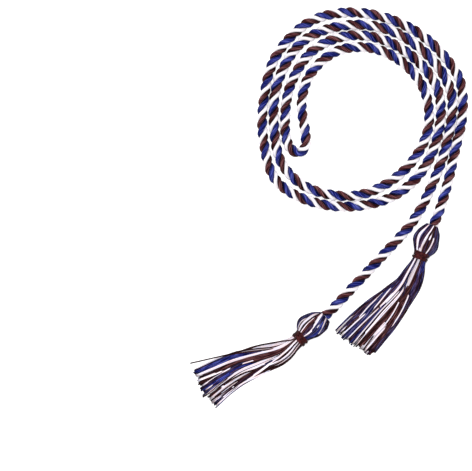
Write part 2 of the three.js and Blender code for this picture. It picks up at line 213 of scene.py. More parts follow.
# The locks on top of each skirt: its yarns side by side, a small letter for a thin one,
# how high it lies in layers, where it comes to the top and where it dives (shares of the
# length), its reach, and its place across the skirt from -1 to 1, at six even steps from
# the root to the tip
LOCKS = {
    "right": (
        ("NK", 3.0, 0.00, 1.10, 1.04, (-0.95, -1.04, -0.90, -0.94, -1.00, -1.03)),
        ("W", 3.8, 0.06, 0.30, 1.00, (-0.86, -0.91, -0.84, -0.60, -0.60, -0.60)),
        ("NN", 3.2, 0.00, 0.40, 1.00, (-0.80, -0.83, -0.78, -0.70, -0.60, -0.60)),
        ("w", 4.8, 0.08, 0.27, 1.00, (-0.74, -0.77, -0.72, -0.60, -0.60, -0.60)),
        ("w", 5.0, 0.82, 1.10, 1.04, (-0.80, -0.85, -0.90, -0.93, -0.95, -0.98)),
        ("K", 3.8, 0.50, 0.78, 1.00, (-0.80, -0.85, -0.88, -0.88, -0.84, -0.82)),
        ("PNP", 3.6, 0.58, 1.10, 1.04, (-0.80, -0.85, -0.85, -0.83, -0.82, -0.84)),
        ("W", 5.8, 0.52, 0.75, 1.00, (-0.75, -0.85, -0.86, -0.79, -0.69, -0.64)),
        ("W", 4.8, 0.92, 1.10, 1.03, (-0.75, -0.80, -0.80, -0.78, -0.77, -0.84)),
        ("K", 4.9, 0.80, 1.10, 1.05, (-0.70, -0.78, -0.78, -0.74, -0.71, -0.77)),
        ("W", 5.8, 0.76, 1.10, 1.03, (-0.70, -0.72, -0.72, -0.57, -0.62, -0.69)),
        ("DNVD", 4.2, 0.36, 1.10, 1.05, (-0.72, -0.80, -0.74, -0.66, -0.52, -0.53)),
        ("W", 6.2, 0.42, 0.67, 1.00, (-0.72, -0.90, -0.78, -0.56, -0.40, -0.36)),
        ("NPKVP", 4.3, 0.00, 0.62, 1.00, (-0.80, -0.76, -0.60, -0.42, -0.28, -0.28)),
        ("KPK", 4.2, 0.58, 1.10, 1.03, (-0.60, -0.60, -0.55, -0.42, -0.26, -0.29)),
        ("W", 5.4, 0.66, 1.10, 1.03, (-0.55, -0.55, -0.42, -0.34, -0.375, -0.39)),
        ("WW", 5.6, 0.00, 0.54, 1.00, (-0.70, -0.63, -0.40, -0.30, -0.24, -0.24)),
        ("w", 5.8, 0.40, 0.52, 1.00, (-0.60, -0.55, -0.47, -0.38, -0.30, -0.30)),
        ("KN", 5.4, 0.00, 0.56, 1.00, (-0.56, -0.46, -0.25, -0.20, -0.14, -0.10)),
        ("DND", 4.7, 0.46, 1.10, 1.03, (-0.50, -0.42, -0.27, -0.19, -0.14, -0.11)),
        ("W", 5.6, 0.87, 0.91, 1.00, (-0.40, -0.40, -0.30, -0.24, -0.22, -0.20)),
        ("WkWW", 5.9, 0.32, 1.10, 1.01, (-0.30, -0.32, -0.12, -0.08, -0.02, 0.02)),
        ("k", 6.3, 0.80, 1.10, 1.04, (-0.20, -0.20, -0.10, -0.06, 0.01, 0.05)),
        ("WWW", 6.0, 0.00, 0.28, 1.00, (-0.18, -0.12, 0.04, 0.15, 0.15, 0.15)),
        ("KN", 7.0, 0.24, 0.40, 1.00, (-0.50, -0.46, 0.12, 0.20, 0.20, 0.20)),
        ("KMKKMK", 5.4, 0.00, 1.10, 1.01, (0.30, 0.20, 0.20, 0.22, 0.21, 0.19)),
        ("W", 6.3, 0.48, 0.86, 1.00, (0.00, 0.00, 0.15, 0.40, 0.45, 0.47)),
        ("WWwW", 6.0, 0.65, 1.10, 0.99, (0.10, 0.10, 0.20, 0.46, 0.48, 0.50)),
        ("W", 6.2, 0.88, 1.10, 1.01, (0.10, 0.10, 0.20, 0.32, 0.36, 0.37)),
        ("K", 6.6, 0.78, 1.10, 0.99, (0.15, 0.15, 0.25, 0.40, 0.39, 0.52)),
        ("KMKMK", 5.5, 0.30, 1.10, 0.96, (0.05, 0.15, 0.40, 0.60, 0.70, 0.72)),
        ("NPVP", 5.4, 0.00, 0.40, 1.00, (0.32, 0.44, 0.60, 0.66, 0.70, 0.70)),
        ("W", 6.6, 0.26, 0.63, 1.00, (0.00, 0.06, 0.55, 0.78, 0.80, 0.70)),
        ("NPNKN", 5.2, 0.00, 1.10, 0.95, (0.45, 0.70, 0.78, 0.86, 0.87, 0.87)),
        ("MK", 6.0, 0.24, 0.36, 0.95, (0.45, 0.58, 0.82, 0.80, 0.80, 0.80)),
        ("BDBB", 6.0, 0.00, 0.00, 0.95, (0.76, 0.66, 0.40, 0.40, 0.40, 0.40)),
        ("w", 7.4, 0.14, 0.14, 0.95, (0.60, 0.84, 0.60, 0.50, 0.50, 0.50)),
        ("PVNPN", 6.6, 0.10, 0.30, 0.95, (0.70, 0.88, 0.76, 0.70, 0.70, 0.70)),
        ("NK", 4.6, 0.00, 1.10, 0.94, (0.80, 1.06, 0.92, 0.92, 0.93, 0.95)),
    ),
    "left": (
        ("W", 2.6, 0.00, 1.10, 0.96, (-0.80, -0.93, -0.96, -0.90, -0.90, -0.90)),
        ("K", 6.6, 0.00, 0.62, 0.98, (-0.55, -1.03, -1.09, -0.96, -0.90, -0.88)),
        ("K", 6.6, 0.12, 0.20, 0.98, (-0.90, -0.68, -0.40, -0.40, -0.40, -0.40)),
        ("WWW", 3.4, 0.00, 0.60, 1.00, (-0.78, -0.80, -0.88, -0.82, -0.74, -0.74)),
        ("K", 6.2, 0.14, 0.64, 0.99, (-0.78, -0.64, -0.85, -0.99, -0.90, -0.88)),
        ("W", 4.6, 0.24, 0.66, 0.99, (-0.70, -0.58, -0.77, -0.90, -0.84, -0.84)),
        ("K", 6.2, 0.28, 0.60, 0.99, (-0.50, -0.46, -0.70, -0.86, -0.80, -0.80)),
        ("N", 6.2, 0.34, 0.56, 0.99, (-0.50, -0.46, -0.60, -0.80, -0.76, -0.76)),
        ("W", 4.8, 0.24, 0.50, 0.99, (-0.66, -0.54, -0.63, -0.80, -0.80, -0.80)),
        ("NBBDBN", 4.4, 0.47, 1.10, 0.99, (-0.30, -0.40, -0.66, -0.75, -0.77, -0.78)),
        ("WWW", 4.9, 0.00, 0.30, 1.00, (-0.72, -0.50, -0.50, -0.50, -0.50, -0.50)),
        ("WW", 5.3, 0.00, 1.10, 1.00, (-0.64, -0.42, -0.53, -0.56, -0.58, -0.68)),
        ("K", 5.3, 0.56, 1.10, 0.99, (-0.50, -0.40, -0.48, -0.47, -0.48, -0.56)),
        ("KMMK", 5.2, 0.00, 0.80, 1.00, (-0.45, -0.26, -0.30, -0.41, -0.38, -0.38)),
        ("WW", 5.9, 0.77, 1.10, 1.01, (-0.35, -0.30, -0.28, -0.35, -0.31, -0.46)),
        ("KKK", 4.7, 0.60, 1.10, 1.01, (-0.40, -0.20, -0.30, -0.34, -0.30, -0.28)),
        ("w", 5.8, 0.90, 1.10, 1.00, (-0.30, -0.20, -0.20, -0.20, -0.18, -0.16)),
        ("MMK", 5.1, 0.00, 0.54, 1.00, (-0.32, -0.06, -0.10, -0.20, -0.20, -0.20)),
        ("W", 7.2, 0.68, 0.72, 1.00, (-0.20, -0.10, -0.12, -0.20, -0.20, -0.18)),
        ("w", 7.0, 0.54, 0.57, 1.00, (-0.20, -0.10, -0.14, -0.18, -0.19, -0.18)),
        ("NPDBPN", 4.7, 0.50, 1.10, 1.02, (-0.10, 0.02, 0.04, -0.07, 0.01, 0.05)),
        ("BBB", 5.3, 0.74, 0.88, 1.02, (-0.15, -0.02, 0.02, 0.02, 0.10, 0.05)),
        ("W", 5.8, 0.86, 1.10, 0.99, (-0.10, 0.00, 0.00, -0.05, 0.09, 0.12)),
        ("NK", 5.2, 0.62, 1.10, 1.04, (-0.05, 0.05, 0.05, 0.10, 0.22, 0.28)),
        ("WW", 6.0, 0.00, 0.23, 1.00, (-0.22, 0.18, 0.50, 0.50, 0.50, 0.50)),
        ("WWkWW", 5.0, 0.26, 1.10, 1.00, (0.00, 0.16, 0.20, 0.24, 0.35, 0.42)),
        ("KK", 5.8, 0.00, 0.26, 1.00, (0.00, 0.38, 0.60, 0.50, 0.50, 0.50)),
        ("NN", 5.8, 0.28, 0.44, 1.00, (0.00, 0.20, 0.38, 0.50, 0.50, 0.50)),
        ("K", 6.0, 0.44, 0.84, 1.00, (0.20, 0.40, 0.46, 0.38, 0.42, 0.46)),
        ("K", 5.8, 0.86, 1.10, 1.00, (0.20, 0.40, 0.40, 0.40, 0.45, 0.51)),
        ("WW", 5.7, 0.00, 0.30, 1.00, (0.15, 0.58, 0.60, 0.70, 0.70, 0.70)),
        ("WW", 6.6, 0.28, 0.58, 1.00, (0.10, 0.15, 0.58, 0.84, 0.84, 0.84)),
        ("WW", 5.4, 0.54, 1.10, 1.00, (0.10, 0.30, 0.46, 0.50, 0.54, 0.56)),
        ("KKPK", 5.8, 0.42, 0.76, 1.00, (0.20, 0.35, 0.48, 0.67, 0.76, 0.78)),
        ("K", 6.0, 0.60, 1.10, 1.00, (0.35, 0.45, 0.52, 0.58, 0.62, 0.66)),
        ("w", 6.0, 0.66, 1.10, 1.00, (0.45, 0.60, 0.66, 0.63, 0.66, 0.70)),
        ("Ww", 5.4, 0.66, 1.10, 1.00, (0.45, 0.60, 0.66, 0.66, 0.72, 0.76)),
        ("K", 6.4, 0.60, 1.10, 1.00, (0.45, 0.60, 0.66, 0.68, 0.70, 0.68)),
        ("p", 6.0, 0.72, 0.94, 1.00, (0.45, 0.60, 0.66, 0.70, 0.78, 0.80)),
        ("K", 6.0, 0.00, 0.50, 0.97, (0.38, 0.72, 0.76, 0.80, 0.76, 0.76)),
        ("W", 5.5, 0.00, 0.12, 0.97, (0.52, 0.85, 0.80, 0.80, 0.80, 0.80)),
        ("KKK", 5.8, 0.00, 0.14, 0.97, (0.70, 0.99, 0.85, 0.80, 0.80, 0.80)),
        ("NN", 5.4, 0.90, 1.10, 0.99, (0.60, 0.75, 0.80, 0.82, 0.86, 0.88)),
        ("WKWW", 4.2, 0.10, 1.10, 1.00, (0.66, 0.86, 0.87, 0.84, 0.86, 0.90)),
        ("k", 5.4, 0.24, 0.50, 1.00, (0.70, 0.84, 0.88, 0.90, 0.90, 0.90)),
        ("n", 5.2, 0.76, 0.90, 1.00, (0.70, 0.84, 0.88, 0.88, 0.90, 0.94)),
        ("W", 2.8, 0.00, 1.10, 0.98, (0.75, 0.96, 0.97, 0.93, 0.97, 1.02)),
        ("n", 3.0, 0.84, 1.10, 1.00, (0.80, 0.92, 0.95, 0.98, 1.00, 1.08)),
    ),
}

# Where it isn't on top, a lock sinks by so many layers, but not below this one
SINKS_BY = 3.4
SUNK_LAYER = 1.5

# The layers of mixed yarns below the locks, mostly of the kinds in painted shade
UNDER_YARNS = {"right": "KNKPNKPDNM", "left": "KWMNKPNWNK"}
UNDER_LAYERS = 3
UNDER_ACROSS = 21

# The one thin yarn that leaves the left skirt along its upper edge: x and y
STRAY = (
    (-0.0259, -0.1015), (-0.0360, -0.1038), (-0.0462, -0.1055), (-0.0540, -0.1069),
    (-0.0618, -0.1095), (-0.0696, -0.1120), (-0.0836, -0.1155), (-0.0969, -0.1186),
    (-0.1085, -0.1213),
)


# Lines and meshes

def unit(v):
    return v / np.linalg.norm(v, axis=-1, keepdims=True)


def smoothstep(low, high, x):
    t = np.clip((x - low) / (high - low), 0, 1)
    return t * t * (3 - 2 * t)


def smooth_line(points, steps):
    """A centripetal Catmull-Rom line through the points, with so many steps between two."""
    p = np.array(points, float)
    p = np.vstack((2 * p[0] - p[1], p, 2 * p[-1] - p[-2]))
    line = []
    for p0, p1, p2, p3 in zip(p, p[1:], p[2:], p[3:]):
        t1 = np.linalg.norm(p1 - p0) ** 0.5
        t2 = t1 + np.linalg.norm(p2 - p1) ** 0.5
        t3 = t2 + np.linalg.norm(p3 - p2) ** 0.5
        t = np.linspace(t1, t2, steps, endpoint=False)[:, None]
        a1 = (t1 - t) / t1 * p0 + t / t1 * p1
        a2 = (t2 - t) / (t2 - t1) * p1 + (t - t1) / (t2 - t1) * p2
        a3 = (t3 - t) / (t3 - t2) * p2 + (t - t2) / (t3 - t2) * p3
        b1 = (t2 - t) / t2 * a1 + t / t2 * a2
        b2 = (t3 - t) / (t3 - t1) * a2 + (t - t1) / (t3 - t1) * a3
        line.append((t2 - t) / (t2 - t1) * b1 + (t - t1) / (t2 - t1) * b2)
    return np.vstack(line + [p[-2:-1]])


def lengths_along(line):
    return np.concatenate(((0.0,), np.cumsum(np.linalg.norm(np.diff(line, axis=0), axis=1))))


def at_lengths(line, lengths):
    known = lengths_along(line)
    return np.stack([np.interp(lengths, known, column) for column in line.T], axis=1)


def ring_mesh(name, tubes):
    """One mesh of closed tubes. A tube is its rings of points, their UV, their shade and
    its finish."""
    points, faces, kinds, uvs, shades = [], [], [], [], []
    first = 0
    for rings, uv, shade, kind in tubes:
        rows, sides = rings.shape[:2]
        points.append(rings.reshape(-1, 3))
        shades.append(shade.reshape(-1))
        index = first + np.arange(rows * sides).reshape(rows, sides)
        after = np.roll(index, -1, axis=1)
        quads = np.stack((index[:-1], after[:-1], after[1:], index[1:]), axis=-1).reshape(-1, 4)
        ends = [index[0][::-1].tolist(), index[-1].tolist()]
        faces += quads.tolist() + ends
        kinds += [YARN_NAMES.index(kind)] * (len(quads) + len(ends))
        wide = np.concatenate((uv, uv[:, :1]), axis=1)
        wide[:, -1, 1] = 2 * uv[:, -1, 1] - uv[:, -2, 1]
        corners = np.stack((wide[:-1, :-1], wide[:-1, 1:], wide[1:, 1:], wide[1:, :-1]), axis=2)
        uvs += [corners.reshape(-1, 2), uv[0][::-1], uv[-1]]
        first += rows * sides
    mesh = bpy.data.meshes.new(name)
    mesh.from_pydata(np.vstack(points).tolist(), [], faces)
    for finish in YARN_FINISHES:
        mesh.materials.append(finish)
    mesh.polygons.foreach_set("material_index", kinds)
    mesh.uv_layers.new(name="along_across").data.foreach_set("uv", np.vstack(uvs).ravel())
    shading = mesh.attributes.new("shade", "FLOAT", "POINT")
    shading.data.foreach_set("value", np.concatenate(shades))
    mesh.shade_smooth()
    mesh.update()
    piece = bpy.data.objects.new(name, mesh)
    bpy.context.scene.collection.objects.link(piece)
    return piece


# Finishes

# Each yarn's dark, middle and pale streak, its roughness, its gloss, and how wide the
# change from dark to pale is. The streaks vary at random along the yarn, and the pale
# ones are partly a painted satin highlight; navy is the blue in painted shade, and violet a
# lighter blue, partly a painted highlight
YARN_LOOKS = {
    "blue": ((0.0012, 0.002, 0.044), (0.0095, 0.0155, 0.212), (0.13, 0.15, 0.55), 0.45, 0.03, 0.25),
    "maroon": ((0.018, 0.002, 0.003), (0.088, 0.020, 0.026), (0.29, 0.12, 0.125), 0.5, 0.02, 0.25),
    "white": ((0.84, 0.74, 0.76), (0.93, 0.88, 0.92), (0.92, 0.92, 0.985), 0.5, 0.15, 0.25),
    "navy": ((0.002, 0.001, 0.007), (0.012, 0.009, 0.058), (0.13, 0.12, 0.30), 0.45, 0.03, 0.25),
    "plum": ((0.005, 0.001, 0.005), (0.030, 0.009, 0.036), (0.15, 0.085, 0.17), 0.45, 0.03, 0.25),
    "violet": ((0.006, 0.004, 0.026), (0.030, 0.024, 0.12), (0.18, 0.16, 0.38), 0.45, 0.06, 0.25),
    "pearl": ((0.88, 0.64, 0.67), (0.93, 0.84, 0.89), (0.74, 0.76, 0.98), 0.5, 0.15, 0.22),
}
YARN_NAMES = list(YARN_LOOKS)

# Noise in a yarn's UV, scaled along and across it, and its detail
STREAKS = ((0.12, 1.6, 1), 3.0)
FILAMENTS = ((0.5, 7.0, 1), 2.0)
BUMP_HEIGHT = 0.0001
FILAMENT_BUMP = 0.6

# The binding's thread: size of its mottling, its two colours and where they stop
# changing, and the painted shade low on the neck: where it begins and ends, and how dark
MOTTLING = 450
THREAD_COLOURS = ((0.36, (0.018, 0.002, 0.003, 1)), (0.66, (0.085, 0.013, 0.014, 1)))
NECK_SHADE_BEGINS = TASSEL_HEIGHT + NECK_RADIUS * 0.95
NECK_SHADE_ENDS = TASSEL_HEIGHT + NECK_RADIUS * 0.3
NECK_SHADE_DARKEST = 0.15

# The floor's colour, and how strongly it glows
FLOOR_COLOUR = (0.9, 0.9, 0.9, 1)
FLOOR_GLOW = 0.4


def new_finish(name, rough, gloss):
    material = bpy.data.materials.new(name)
    material.use_nodes = True
    shader = material.node_tree.nodes["Principled BSDF"]
    shader.inputs["Roughness"].default_value = rough
    shader.inputs["Specular IOR Level"].default_value = gloss
    return material, shader


def stretched_noise(tree, place, scale, detail):
    """Noise stretched along the yarn."""
    stretch = tree.nodes.new("ShaderNodeMapping")
    stretch.inputs["Scale"].default_value = scale
    noise = tree.nodes.new("ShaderNodeTexNoise")
    noise.inputs["Scale"].default_value = 1.0
    noise.inputs["Detail"].default_value = detail
    tree.links.new(place.outputs["UV"], stretch.inputs["Vector"])
    tree.links.new(stretch.outputs["Vector"], noise.inputs["Vector"])
    return noise


def darken_colour(tree, colour, shade, shader):
    """The colour times the shade, as the shader's colour."""
    darken = tree.nodes.new("ShaderNodeMix")
    darken.data_type = "RGBA"
    darken.blend_type = "MULTIPLY"
    darken.inputs["Factor"].default_value = 1.0
    tree.links.new(colour, darken.inputs["A"])
    tree.links.new(shade, darken.inputs["B"])
    tree.links.new(darken.outputs["Result"], shader.inputs["Base Color"])


def raise_bumps(tree, noise, shader, strength=1.0):
    bump = tree.nodes.new("ShaderNodeBump")
    bump.inputs["Strength"].default_value = strength
    bump.inputs["Distance"].default_value = BUMP_HEIGHT
    tree.links.new(noise.outputs["Fac"], bump.inputs["Height"])
    tree.links.new(bump.outputs["Normal"], shader.inputs["Normal"])


def yarn_finish(name, deep, middle, pale, rough, gloss, streak):
    """Satin yarn: fine streaks along it, the pale ones partly a painted highlight, and darker where
    the shade attribute gives painted shade.
    """
    material, shader = new_finish(f"{name}_yarn", rough, gloss)
    tree = material.node_tree
    place = tree.nodes.new("ShaderNodeUVMap")
    place.uv_map = "along_across"
    streaks = stretched_noise(tree, place, *STREAKS)
    ramp = tree.nodes.new("ShaderNodeValToRGB")
    ramp.color_ramp.elements[0].position = 0.5 - streak / 2
    ramp.color_ramp.elements[0].color = (*deep, 1)
    ramp.color_ramp.elements[1].position = 0.5 + streak / 2
    ramp.color_ramp.elements[1].color = (*pale, 1)
    ramp.color_ramp.elements.new(0.5).color = (*middle, 1)
    tree.links.new(streaks.outputs["Fac"], ramp.inputs["Fac"])
    shade = tree.nodes.new("ShaderNodeAttribute")
    shade.attribute_name = "shade"
    darken_colour(tree, ramp.outputs["Color"], shade.outputs["Fac"], shader)
    filaments = stretched_noise(tree, place, *FILAMENTS)
    raise_bumps(tree, filaments, shader, FILAMENT_BUMP)
    return material


def binding_finish():
    """Mottled maroon thread, with painted shade low on the neck."""
    material, shader = new_finish("binding_thread", rough=0.6, gloss=0.1)
    tree = material.node_tree
    place = tree.nodes.new("ShaderNodeTexCoord")
    noise = tree.nodes.new("ShaderNodeTexNoise")
    noise.inputs["Scale"].default_value = MOTTLING
    tree.links.new(place.outputs["Object"], noise.inputs["Vector"])
    ramp = tree.nodes.new("ShaderNodeValToRGB")
    for element, (position, colour) in zip(ramp.color_ramp.elements, THREAD_COLOURS):
        element.position = position
        element.color = colour
    tree.links.new(noise.outputs["Fac"], ramp.inputs["Fac"])
    parts = tree.nodes.new("ShaderNodeSeparateXYZ")
    tree.links.new(place.outputs["Object"], parts.inputs["Vector"])
    # Painted shade, darker toward the bottom of the neck
    neck_shade = tree.nodes.new("ShaderNodeMapRange")
    neck_shade.inputs["From Min"].default_value = NECK_SHADE_ENDS
    neck_shade.inputs["From Max"].default_value = NECK_SHADE_BEGINS
    neck_shade.inputs["To Min"].default_value = NECK_SHADE_DARKEST
    neck_shade.inputs["To Max"].default_value = 1.0
    tree.links.new(parts.outputs["Z"], neck_shade.inputs["Value"])
    darken_colour(tree, ramp.outputs["Color"], neck_shade.outputs["Result"], shader)
    raise_bumps(tree, noise, shader)
    return material


def floor_finish():
    """A pale matt floor, with a slight glow so that it comes out white."""
    material, shader = new_finish("pale_floor", rough=0.9, gloss=0.1)
    shader.inputs["Base Color"].default_value = FLOOR_COLOUR
    shader.inputs["Emission Color"].default_value = (1, 1, 1, 1)
    shader.inputs["Emission Strength"].default_value = FLOOR_GLOW
    return material


# Rope

def ply_section(kind, half, centre, yarns, low_shade, high_shade):
    """One ply's outline as angle from its middle and radius from the rope's axis: a crown
    of yarns side by side, and the flats that meet the other plies; and its painted shade."""
    crown_half = math.radians(half - CROWN_MARGIN)
    crown = ROPE_RADIUS - centre
    angles = np.linspace(-crown_half, crown_half, CROWN_POINTS)
    radii = centre * np.cos(angles) + np.sqrt(crown ** 2 - (centre * np.sin(angles)) ** 2)
    share = angles / crown_half
    groove = 0.5 - 0.5 * np.cos((share * yarns + yarns + 1) * math.pi)
    radii -= GROOVE_DEPTH * groove
    shade = 1.0
    # Painted shade toward the ply's edges, where it meets the other plies
    for edge, edge_shade in ((-share, low_shade), (share, high_shade)):
        begins, ends = DARK_EDGE if edge_shade < DARK_LIMIT else PALE_EDGE
        shade = shade - (1 - edge_shade) * smoothstep(begins, ends, edge)
    # Painted shade in the grooves between its yarns
    shade *= 1 - GROOVE_PAINTED_SHADE[kind] * groove
    flat = math.radians(half - FLAT_MARGIN)
    angles = np.concatenate((angles, (flat, 0.0, -flat)))
    radii = np.concatenate((radii, (FLAT_RADIUS, INNER_RADIUS, FLAT_RADIUS)))
    shade = np.concatenate((shade, (high_shade, high_shade, low_shade)))
    return angles, radii, shade


def rope_line():
    """The rope's smooth centre line, nowhere lower than its radius."""
    points = [(x, y, ROPE_RADIUS + lift * (TASSEL_HEIGHT - ROPE_RADIUS)) for x, y, lift in ROUTE]
    line = smooth_line(points, LINE_STEPS)
    line[:, 2] = np.maximum(line[:, 2], ROPE_RADIUS)
    return line


def rope_tubes(line):
    """The three plies, twisted round the line, and the line at the plies' rings."""
    whole = lengths_along(line)[-1]
    along = np.linspace(0, whole, int(whole / ROPE_STEP))
    middle = at_lengths(line, along)
    tangent = unit(np.gradient(middle, axis=0))
    side = unit(np.cross(UP, tangent))
    top = np.cross(tangent, side)
    marks, turns = np.array(TWIST, float).T
    turned = np.interp(along, marks, turns)
    turned += np.minimum(along - marks[0], 0) / TURN_LENGTH
    turned += np.maximum(along - marks[-1], 0) / TURN_LENGTH
    tubes = []
    for number, (kind, middle_angle, half, *section) in enumerate(PLIES):
        angles, radii, shade = ply_section(kind, half, *section)
        phase = math.radians(middle_angle) + turned * 2 * math.pi
        theta = phase[:, None] + angles[None, :]
        out = np.cos(theta)[..., None] * side[:, None] + np.sin(theta)[..., None] * top[:, None]
        rings = middle[:, None] + out * radii[None, :, None]
        u = np.repeat(along[:, None] * ROPE_UV_ALONG, len(angles), axis=1)
        v = np.repeat(angles[None, :] * ROPE_UV_ACROSS + number * ROPE_UV_APART, len(along), axis=0)
        # Painted shade on one side of the rope: maroon darker on its left, blue on its right
        lee = LEE_SIDE[kind] * np.cos(theta)
        shades = shade[None, :] * (1 - LEE_PAINTED_SHADE * smoothstep(LEE_BEGINS, 1.0, lee))
        tubes.append((rings, np.stack((u, v), axis=-1), shades, kind))
    return tubes, middle


# Tassels

# The tables above give places at so many even steps, with these steps in between
STEPS = 6
STATION_STEPS = 8

# A yarn: its sides, its UV's width, and how far along and across its UV may start
YARN_SIDES = 10
YARN_UV_WIDTH = 4.0
YARN_UV_STARTS = (90, 50)

# Its painted shade at its two edges and the power by which it gets paler from there, and
# how far the shades of yarns may lie apart at random
SIDE_PAINTED_SHADE = (0.30, 0.8)
PEARL_SIDE_PAINTED_SHADE = (0.42, 0.45)
YARN_SHADES = (0.7, 1.25)

# A head's loop: points, and its place across in millimetres from loop to loop, which is
# less toward the head's ends
LOOP_POINTS = 20
LOOP_STEPS = 3
LOOP_SPACING = 0.82
LOOP_CLOSENESS = (0.6, 0.8, 1.0, 1.0, 0.8, 0.6)

# Its sizes in metres: half its width at its ends and what it gains in between, and how
# far its middle keeps from the head's edge and from the floor
LOOP_HALF = 0.00034
LOOP_SWELL = 0.00022
LOOP_INSET = 0.0004
LOOP_CLEARANCE = 0.0006

# The power by which it swells, its height for its width, and the size of the top loops
SWELL_POWER = 0.6
LOOP_FLATNESS = 0.85
TOP_LOOP_SIZE = 1.1

# A loop's distance from the axis where it is under the others, as a share of the top
# ones', what it gains for its swell and at random, and the painted shade of the head's
# underside
UNDER_SIZE = 0.80
SWELL_GAIN = 0.0005
RANDOM_GAIN = 0.0025
UNDER_SHADE = 0.75

# Where a loop starts and ends inside the head: metres, and shares of its way from the axis
LOOP_START = ((0.0042, 0.35, 0.10), (0.0012, 0.72, 0.55))
LOOP_END = (0.0020, 0.94, 0.94)

# Small amounts that keep the directions round the head from being zero
NUDGE = 0.0001
SKEW = 0.001

# How softly a yarn comes to the top: shares of its length outside and inside that place
LOOP_SOFTNESS = (0.10, 0.06)
SKIRT_SOFTNESS = (0.09, 0.07)
ALWAYS_ON_TOP = (-1, 2)
NEVER_ON_TOP = (2, 3)

# How uneven the yarns are. A wave has its size, and the least and most radians along a
# yarn; the rest is varied by so much either way: shares, or metres where they say so
LOOP_WAVE = (0.02, 4, 9)
LOOP_START_METRES = (-0.0004, 0.0006)
LOOP_SHOWN_VARIES = 0.04
UNDER_LOOP_VARIES_METRES = 0.0003
SIDE_WAVE_METRES = (0.0001, 0.0004)
SIDE_WAVE = (5, 11)
HEIGHT_WAVE = (0.0001, 6, 14)
LOCK_STARTS_VARY = 0.06
LOCK_ENDS_VARY = 0.05
LAYER_VARIES = 0.2
REACH_VARIES = 0.015
UNDER_REACH = (0.92, 1.0)
UNDER_PLACE_VARIES = 0.03
UNDER_PATH_VARIES = 0.05

# A skirt: points of a yarn, and steps between two points of its middle line
SKIRT_POINTS = 24
SWEEP_STEPS = 12

# The yarns' spacing in metres, how much wider it is at the root, the height of a layer in
# metres, and the sizes of a thin yarn, of a white one, and of any at the neck
YARN_SPACING = 0.00102
ROOT_SPACING = 1.25
LAYER_HEIGHT = 0.00085
THIN_YARN = 0.7
WHITE_YARN = 0.86
NECK_YARN = 0.8

# How high the layers lie: in the skirt's middle, by what power less toward its sides, and
# at least
CREST = 1.02
CREST_POWER = 3
CREST_LEAST = 0.2

# A yarn of the layers below: where it shows, and how far it lies over its layer
WHOLE_LENGTH = (0, 1.1)
LAYER_START = 0.1

# The neck: the share of its radius that the yarns fill, how far out the outermost lies,
# how many layers fill it, and the layer of a yarn that comes to the top further on
NECK_FILL = 0.9
NECK_EDGE = 0.96
NECK_LAYERS = 5.8
NECK_MIDDLE_LAYER = 2.4

# Shares of the skirt's length in which it fans out, comes down to the floor, and leaves
# the painted shade by the binding, how dark that painted shade is, and where its cut ends
# darken and by how much
FAN_ENDS = 0.16
SETTLE_ENDS = 0.5
ROOT_ENDS = 0.07
ROOT_SHADE = 0.55
TIP_BEGINS = 0.965
TIP_DARK = 0.7

# The stray yarn: where it starts in metres above the floor, half its width, its shade
STRAY_STEPS = 5
STRAY_START = 0.006
STRAY_HALF = YARN_WIDTH * 0.45
STRAY_SHADE = 0.22


def vary(by):
    """A random amount, up to so much either way."""
    return random.uniform(-by, by)


def wave(share, size, slow, fast):
    """A random wave along a yarn."""
    return size * np.sin(share * random.uniform(slow, fast) + random.uniform(0, 6))


def tassel_frame(side):
    """The origin on the tassel's axis, the way out from the rope, and across it."""
    end, before = (ROUTE[0], ROUTE[1]) if side == "right" else (ROUTE[-1], ROUTE[-2])
    outward = unit(np.array((end[0] - before[0], end[1] - before[1], 0.0)))
    origin = np.array((end[0], end[1], TASSEL_HEIGHT)) + outward * END_GAP
    return origin, outward, np.cross(UP, outward)


def placed(frame_of, points):
    origin, outward, across = frame_of
    return origin + points[:, :1] * outward + points[:, 1:2] * across + points[:, 2:] * UP


def across_at(share, places):
    """Where a yarn lies across its tassel, from its places at the even steps."""
    line = smooth_line(np.stack((np.linspace(0, 1, STEPS), places), axis=1), STATION_STEPS)
    return np.interp(share, line[:, 0], line[:, 1])


def on_top(share, shown, softness):
    """1 where a yarn lies on top, 0 where it lies under others."""
    comes, dives = shown
    outside, inside = softness
    up = smoothstep(comes - outside, comes + inside, share)
    return up * (1 - smoothstep(dives - inside, dives + outside, share))


def yarn_tube(points, away, width, height, kind, shade):
    """A yarn with an oval section: its points, the way that its flat face looks, its half
    sizes at each point, its colour and its shade; its sides get painted shade."""
    tangent = unit(np.gradient(points, axis=0))
    across = unit(np.cross(away, tangent))
    up = np.cross(tangent, across)
    angle = np.arange(YARN_SIDES) * 2 * math.pi / YARN_SIDES
    rings = (points[:, None] + across[:, None] * (width[:, None] * np.cos(angle))[..., None]
             + up[:, None] * (height[:, None] * np.sin(angle))[..., None])
    u = np.repeat(lengths_along(points)[:, None] * MILLIMETRES, YARN_SIDES, axis=1)
    v = np.repeat(np.arange(YARN_SIDES)[None] * (YARN_UV_WIDTH / YARN_SIDES), len(points), axis=0)
    u += random.uniform(0, YARN_UV_STARTS[0])
    v += random.uniform(0, YARN_UV_STARTS[1])
    # Painted shade on the yarn's two sides, paler on its top and underside
    deep, power = PEARL_SIDE_PAINTED_SHADE if kind == "pearl" else SIDE_PAINTED_SHADE
    side_painted_shade = deep + (1 - deep) * np.abs(np.sin(angle)) ** power
    shades = np.broadcast_to(np.reshape(shade, (-1, 1)), (len(points), 1)) * side_painted_shade
    return rings, np.stack((u, v), axis=-1), shades, kind


def yarn_kind(letter):
    """A yarn's finish and painted shade, each yarn a little different at random."""
    name, shade = YARN_KINDS[letter]
    return name, shade * random.uniform(*YARN_SHADES)


